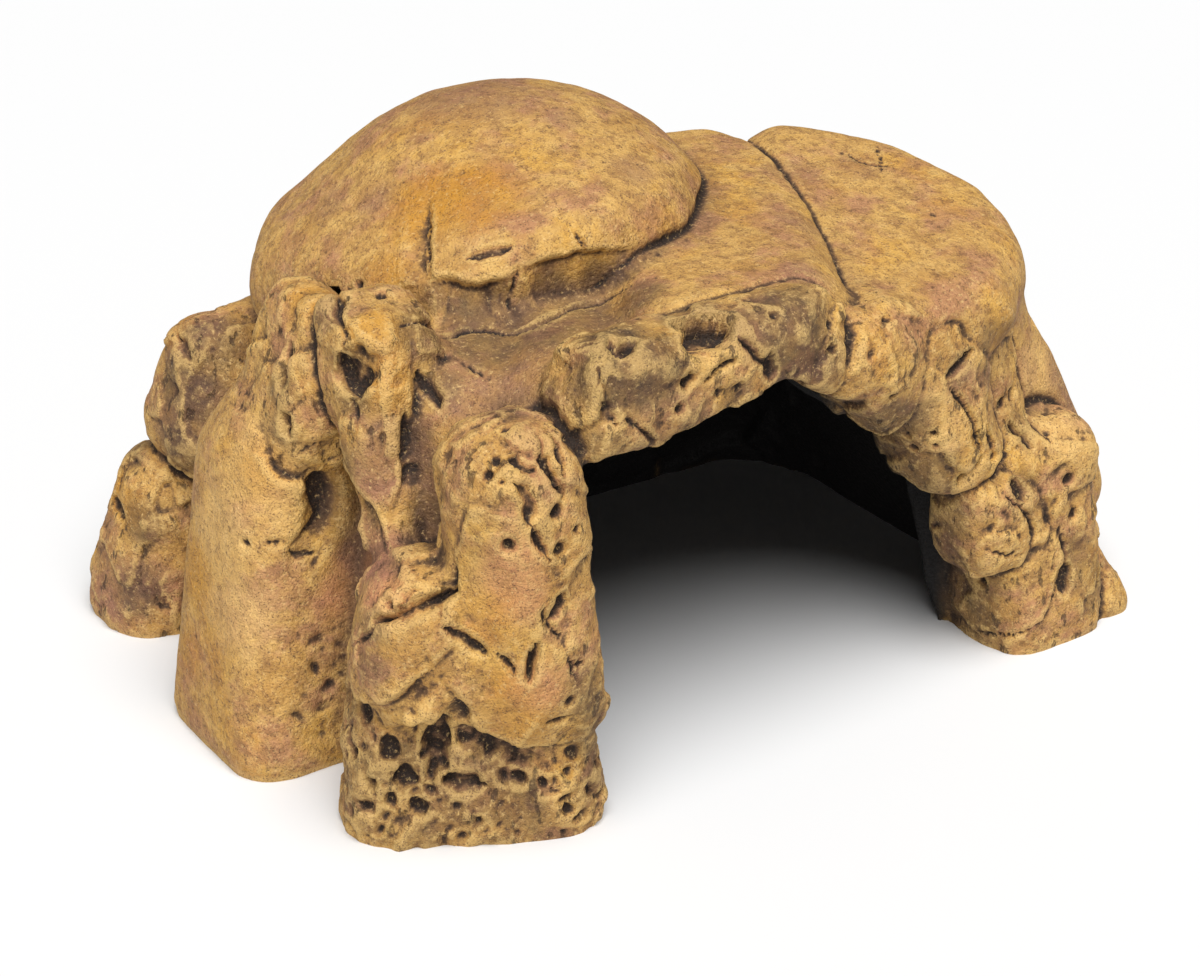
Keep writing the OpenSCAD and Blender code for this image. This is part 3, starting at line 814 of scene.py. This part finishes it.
def paint_patches(s):
    """Washes in set places: the colour, the radius in mm, the strength and the places. Many dark brown and
    purplish ones are painted shade.
    """
    s.face("dome_capstone")
    s.patch("mauve", 22, 0.65, (0.5, 0.9))
    s.patch("mauve", 7, 0.5, (0.2, 0.5), (0.3, 0.5), (0.7, 0.8), (0.85, 0.6))
    s.patch("orange", 15, 0.9, (0.5, 0.5), (0.42, 0.45))
    s.patch("orange", 8, 0.6, (0.33, 0.22), (0.2, 0.15))
    # painted shade on the broken face of the dome's lip and under it
    s.patch("umber_and_shade", 5, 0.8, (0.44, 0.13), (0.5, 0.12), (0.57, 0.12), (0.68, 0.17), (0.77, 0.2), (0.83, 0.24))
    s.patch("umber_and_shade", 9, 0.85, (0.45, 0.0), (0.52, 0.0), (0.6, 0.0), (0.66, 0.02), (0.75, 0.08), (0.85, 0.15))
    s.face("middle_roof_slab")
    # painted shade on the shelf under the dome's lip
    s.patch("umber_and_shade", 12, 1.0, (0.05, 0.05), (0.15, 0.1), (0.25, 0.1), (0.35, 0.2), (0.1, 0.15))
    s.face("left_wedge_stone")
    s.patch("orange", 8, 0.6, (0.45, 0.75), (0.6, 0.65), (0.55, 0.82))
    # painted shade in the valley beside the wedge and in its creases
    s.patch("umber_and_shade", 6, 0.7, (0.75, 0.45), (0.8, 0.35), (0.9, 0.6), (1.45, 0.55), (1.7, 0.55))
    s.patch("umber_and_shade", 8, 0.6, (0.85, 0.2), (0.85, 0.1), (0.1, 0.2), (0.25, 0.1), (0.35, 0.03))
    s.patch("umber_and_shade", 10, 0.85, (1.2, 0.85), (1.5, 0.85), (1.8, 0.88), (2.0, 0.92), (1.3, 0.78))
    s.patch("mauve", 9, 0.8, (1.1, 0.6), (1.3, 0.6), (1.5, 0.65), (0.5, 0.0), (0.3, 0.0))
    s.patch("mauve", 8, 0.7, (0.55, 0.4), (0.6, 0.3), (0.5, 0.3), (1.65, 0.75))
    s.face("left_brow_stone")
    # painted shade in the brow's hollows and along its crack
    s.patch("umber_and_shade", 6, 0.75, (0.8, 0.8), (0.95, 0.55), (0.95, 0.4), (0.85, 0.1), (0.4, 0.45), (0.4, 0.25))
    s.face("left_wall_slab")
    s.patch("pale", 14, 0.8, (0.3, 0.6), (0.35, 0.4), (0.5, 0.75))
    s.patch("orange", 9, 0.5, (0.15, 0.5), (0.1, 0.3), (0.5, 0.75))
    s.patch("pink", 9, 0.8, (0.9, 0.5), (1.0, 0.55), (0.85, 0.45), (1.05, 0.48))
    s.patch("umber_and_shade", 6, 0.6, (1.0, 0.4), (1.0, 0.3), (0.95, 0.2), (0.95, 0.1))
    s.face("left_pillar_stone")
    s.patch("pink", 8, 0.7, (0.5, 0.45), (0.45, 0.5), (0.5, 0.57), (0.6, 0.2))
    s.patch("orange", 8, 0.5, (0.4, 0.17), (0.45, 0.1), (0.3, 0.4))
    s.patch("umber_and_shade", 6, 0.85, (0.9, 0.05), (0.9, 0.15), (0.95, 0.0))
    s.face("left_foot_stone")
    s.patch("umber_and_shade", 7, 0.8, (0.95, 0.7), (0.97, 0.5), (0.98, 0.3))
    s.face("lintel_stone")
    # painted shade in the lintel's recess
    s.patch("umber_and_shade", 7, 0.8, (0.45, 0.78), (0.53, 0.78), (0.62, 0.76))
    s.patch("mauve", 8, 0.5, (0.35, 0.47), (0.48, 0.36), (0.7, 0.73), (0.38, 0.2))
    # painted shade along its lower edge and beside its pits and cracks
    s.patch("umber_and_shade", 5, 0.7, (0.25, 0.07), (0.35, 0.08), (0.5, 0.22), (0.64, 0.35), (0.18, 0.07))
    # painted shade: the dark band along the right edge of the mouth
    s.face("arch_crown_stone")
    s.patch("umber_and_shade", 13, 1.0, (0.05, 0.75), (0.05, 0.55), (0.1, 0.4), (0.25, 0.2), (0.5, 0.05), (0.8, 0.0))
    s.face("right_knuckle_stone")
    s.patch("umber_and_shade", 8, 0.8, (0.0, 0.9), (0.05, 0.6), (0.1, 0.3))
    s.face("right_arch_stone")
    s.patch("pale", 8, 0.6, (0.45, 0.5), (0.6, 0.35))
    # painted shade on its inward face at the mouth
    s.patch("umber_and_shade", 7, 1.0, (0.1, 0.4), (0.2, 0.25), (0.35, 0.1), (0.5, 0.0))
    s.patch("umber_and_shade", 6, 0.6, (0.6, 0.73), (0.85, 0.9), (1.0, 0.95), (0.85, 0.7))
    s.face("right_shoulder_stone")
    s.patch("pale", 10, 0.7, (0.35, 0.6), (0.45, 0.4))
    s.patch("mauve", 8, 0.7, (0.74, 0.6), (0.77, 0.5), (0.8, 0.42), (0.6, 0.63))
    s.face("right_foot_stone")
    s.patch("umber_and_shade", 6, 0.6, (0.42, 0.88), (0.4, 0.65), (0.75, 0.28), (0.9, 0.2))
    s.face("right_heel_stone")
    s.patch("umber_and_shade", 9, 0.6, (0.5, 0.5), (0.7, 0.3))
    s.face("rear_lower_boulder")
    s.patch("umber_and_shade", 9, 0.8, (0.4, 0.5), (0.35, 0.2), (0.3, 0.95))
    s.patch("mauve", 10, 0.8, (0.3, 0.25), (0.2, 0.2), (0.1, 0.5))
    s.patch("orange", 8, 0.6, (0.2, 0.7), (0.3, 0.6))
    s.face("rear_upper_boulder")
    s.patch("mauve", 10, 0.8, (0.3, 0.7), (0.35, 0.45), (0.2, 0.3))
    s.patch("umber_and_shade", 12, 0.9, (0.4, 0.4), (0.25, 0.15), (0.45, 0.7), (0.25, 0.5))
    s.patch("orange", 8, 0.6, (0.2, 0.85))
    s.face("right_roof_slab")
    s.patch("mauve", 8, 0.5, (0.15, 0.8), (0.15, 0.6), (0.12, 0.4), (0.4, 0.85))
    s.paint["umber_and_shade"] = np.maximum(s.paint["umber_and_shade"], 0.75 * s.foot * ramp(s.mottle, -0.6, 0.3))


# ---------------------------------------------------------------- material

class Nodes:
    """Short names for the shader nodes used here."""

    def __init__(self, material):
        material.use_nodes = True
        self.tree = material.node_tree
        self.shader = self.tree.nodes["Principled BSDF"]
        self.place = self.tree.nodes.new("ShaderNodeTexCoord").outputs["Object"]

    def set(self, socket, value):
        if hasattr(value, "is_output"):
            self.tree.links.new(value, socket)
        else:
            socket.default_value = value

    def attribute(self, name):
        node = self.tree.nodes.new("ShaderNodeAttribute")
        node.attribute_name = name
        return node.outputs["Fac"]

    def noise(self, scale, detail=3.0, roughness=0.55, stretch=None):
        node = self.tree.nodes.new("ShaderNodeTexNoise")
        place = self.place
        if stretch:
            mapping = self.tree.nodes.new("ShaderNodeMapping")
            self.set(mapping.inputs["Vector"], place)
            mapping.inputs["Scale"].default_value = stretch
            place = mapping.outputs["Vector"]
        self.set(node.inputs["Vector"], place)
        self.set(node.inputs["Scale"], scale)
        self.set(node.inputs["Detail"], detail)
        self.set(node.inputs["Roughness"], roughness)
        return node.outputs["Fac"]

    def math(self, operation, a, b, c=0.0):
        node = self.tree.nodes.new("ShaderNodeMath")
        node.operation = operation
        for socket, value in zip(node.inputs, (a, b, c)):
            self.set(socket, value)
        return node.outputs["Value"]

    def span(self, value, low, high, to_low=0.0, to_high=1.0):
        node = self.tree.nodes.new("ShaderNodeMapRange")
        for socket, given in zip(node.inputs, (value, low, high, to_low, to_high)):
            self.set(socket, given)
        return node.outputs["Result"]

    def mix(self, share, a, b):
        node = self.tree.nodes.new("ShaderNodeMix")
        node.data_type = "RGBA"
        # the numbered sockets are the ones for colours
        self.set(node.inputs[0], share)
        self.set(node.inputs[6], a)
        self.set(node.inputs[7], b)
        return node.outputs[2]

    def wash(self, colour, pattern, low, high, strength, shade):
        """Lays a shade over the colour where the pattern goes from low to high."""
        return self.mix(self.span(pattern, low, high, 0, strength), colour, tint(*shade))


def tint(red, green, blue):
    """The paint that shows as this screen colour, 0 to 255, under the studio light."""
    linear = (c / 255 / 12.92 if c < 11 else ((c / 255 + 0.055) / 1.055) ** 2.4
              for c in (red, green, blue))
    return tuple(c / LIGHT_LEVEL for c in linear) + (1,)


def stone_material():
    """Painted resin: an ochre base, washes over it, painted shade in hollows, slots and the chamber, a
    painted highlight on raised edges, and a fine bump.
    """
    material = bpy.data.materials.new("painted_resin_stone")
    n = Nodes(material)
    # patterns from coarse to fine, in lumps to the metre
    cloudy, hazy = n.noise(55, 3), n.noise(85, 4, 0.6, (1, 1, 1.3))
    blotchy = n.noise(230, 4, 0.65)
    mottled = n.noise(520, 3, 0.65)
    grainy = n.noise(1100, 3, 0.7)
    stipple = n.noise(2500, 2, 0.6)
    # ochre base with mauve and yellow clouds, brown and pale blotches
    colour = n.mix(n.span(cloudy, 0.35, 0.65), tint(196, 148, 78), tint(222, 178, 104))
    colour = n.wash(colour, hazy, 0.48, 0.62, 0.75, (180, 126, 94))
    colour = n.wash(colour, cloudy, 0.52, 0.64, 0.65, (204, 150, 56))
    colour = n.wash(colour, blotchy, 0.48, 0.70, 0.6, (150, 106, 62))
    colour = n.wash(colour, mottled, 0.50, 0.66, 0.55, (134, 92, 56))
    colour = n.wash(colour, blotchy, 0.44, 0.28, 0.45, (234, 192, 116))
    # the washes in set places, partly painted shade, broken up by the blotches
    broken = n.span(blotchy, 0.3, 0.65, 1.0, 0.5)
    for name, shade in WASHES:
        colour = n.mix(n.math("MULTIPLY", n.attribute(name), broken), colour, tint(*shade))
    # painted shade in the broad hollows, together with the dark wash there
    colour = n.mix(n.math("MULTIPLY", n.attribute("deep"), n.span(blotchy, 0.3, 0.65, 0.75, 0.4)),
                   colour, tint(108, 82, 66))
    wobble = n.math("MULTIPLY_ADD", n.math("SUBTRACT", grainy, 0.5), 0.45, n.attribute("hollow"))
    wobble = n.math("MULTIPLY_ADD", n.math("SUBTRACT", n.attribute("broad"), 0.5), 0.7, wobble)
    # pale dry-brushed paint on raised edges, also a painted highlight
    colour = n.wash(colour, wobble, 0.42, 0.20, 0.45, (236, 196, 122))
    # painted shade in hollows and cracks, together with the dark wash, nearly black in the deepest
    colour = n.wash(colour, wobble, 0.54, 0.76, 0.80, (92, 66, 48))
    colour = n.wash(colour, wobble, 0.70, 1.00, 0.95, (38, 28, 22))
    # small dark slots on rough stone: painted shade of shallow pits, which the bump sinks a little; fine dark
    # and pale speckle everywhere
    slots = n.span(n.noise(420, 3, 0.6, (1, 1, 0.45)), 0.60, 0.68)
    slots = n.math("MULTIPLY", slots, n.attribute("rough"))
    colour = n.mix(n.math("MULTIPLY", slots, 0.75), colour, tint(60, 42, 30))
    speck = n.math("MULTIPLY", n.span(stipple, 0.55, 0.62), n.span(mottled, 0.36, 0.60, 0.2, 0.75))
    colour = n.mix(speck, colour, tint(92, 64, 44))
    colour = n.wash(colour, grainy, 0.42, 0.30, 0.45, (236, 196, 130))
    # painted shade: the chamber's walls nearly black, for the dark within the cave
    colour = n.mix(n.attribute("inside"), colour, tint(16, 12, 10))
    n.set(n.shader.inputs["Base Color"], colour)
    n.set(n.shader.inputs["Roughness"], n.span(grainy, 0.3, 0.7, 0.62, 0.88))
    n.set(n.shader.inputs["Specular IOR Level"], 0.3)
    height = n.math("MULTIPLY_ADD", stipple, -0.35, n.math("MULTIPLY_ADD", grainy, 0.8, blotchy))
    height = n.math("MULTIPLY_ADD", slots, -0.8, n.math("ADD", height, mottled))
    bump = n.tree.nodes.new("ShaderNodeBump")
    bump.inputs["Strength"].default_value = 0.7
    bump.inputs["Distance"].default_value = 0.0009
    n.set(bump.inputs["Height"], height)
    n.set(n.shader.inputs["Normal"], bump.outputs["Normal"])
    return material


# ---------------------------------------------------------------- one closed piece for each CAD node

def border_of(quads, count):
    """The sides that belong to one quad only; count is the number of corners."""
    sides = sides_of(quads)
    key = np.sort(sides, axis=1) @ np.array([count, 1])
    _, first, times = np.unique(key, return_index=True, return_counts=True)
    return sides[first[times == 1]]


def close_with_core(used, quads, border):
    """For the shell: its part of the core behind it, and a strip between the two borders."""
    count = len(used)
    co = np.concatenate([skin.co[used], skin.core[used]])
    way = np.concatenate([skin.way[used], -skin.way[used]])
    faces = quads.tolist() + (quads[:, ::-1] + count).tolist()
    faces += [[b, a, a + count, b + count] for a, b in border.tolist()]
    return co, way, faces


def close_with_fan(used, quads, border, middle):
    """For a stone: a rim sunk to the core, and a fan from there to the stone's middle."""
    rim, sunken = np.unique(border, return_inverse=True)
    sunken = sunken.reshape(-1, 2) + len(used)
    rim = used[rim]
    co = np.concatenate([skin.co[used], skin.core[rim], [middle]])
    way = np.concatenate([skin.way[used], -skin.way[rim], [[0, 0, 1]]])
    last = len(co) - 1
    faces = quads.tolist()
    faces += [[b, a, c, d] for (a, b), (c, d) in zip(border.tolist(), sunken.tolist())]
    faces += [[d, c, last] for c, d in sunken.tolist()]
    return co, way, faces


def make_piece(name):
    """The closed, painted piece that stands for one CAD node."""
    used, quads = np.unique(skin.quads[skin.quad_owner == names.index(name)], return_inverse=True)
    quads = quads.reshape(-1, 4)
    count = len(used)
    border = border_of(quads, count)
    if name == "cave_shell":
        co, way, faces = close_with_core(used, quads, border)
    else:
        middle = corners_of(nodes[name].data).mean(axis=0)
        co, way, faces = close_with_fan(used, quads, border, middle)
    mesh = bpy.data.meshes.new(name + "_look")
    mesh.from_pydata((co * MM).tolist(), [], faces)
    mesh.polygons.foreach_set("use_smooth", [True] * len(faces))
    mesh.normals_split_custom_set_from_vertices(way.tolist())
    for kind, values in skin.paint.items():
        data = np.zeros(len(co), dtype=np.float32)
        data[:count] = values[used]
        if name == "cave_shell":
            data[count:] = values[used]
        mesh.attributes.new(kind, "FLOAT", "POINT").data.foreach_set("value", data)
    piece = bpy.data.objects.new(name + "_look", mesh)
    pieces.objects.link(piece)
    mesh.materials.append(stone)
    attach(piece, "root")
    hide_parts(name)


skin = Skin()
skin.smooth_out()
skin.carve()
skin.find_core()
skin.find_paint()
stone = stone_material()
pieces = bpy.data.collections.new("pieces")
bpy.context.scene.collection.children.link(pieces)
for name in names:
    make_piece(name)
set_camera()
set_light(pieces)
set_floor()
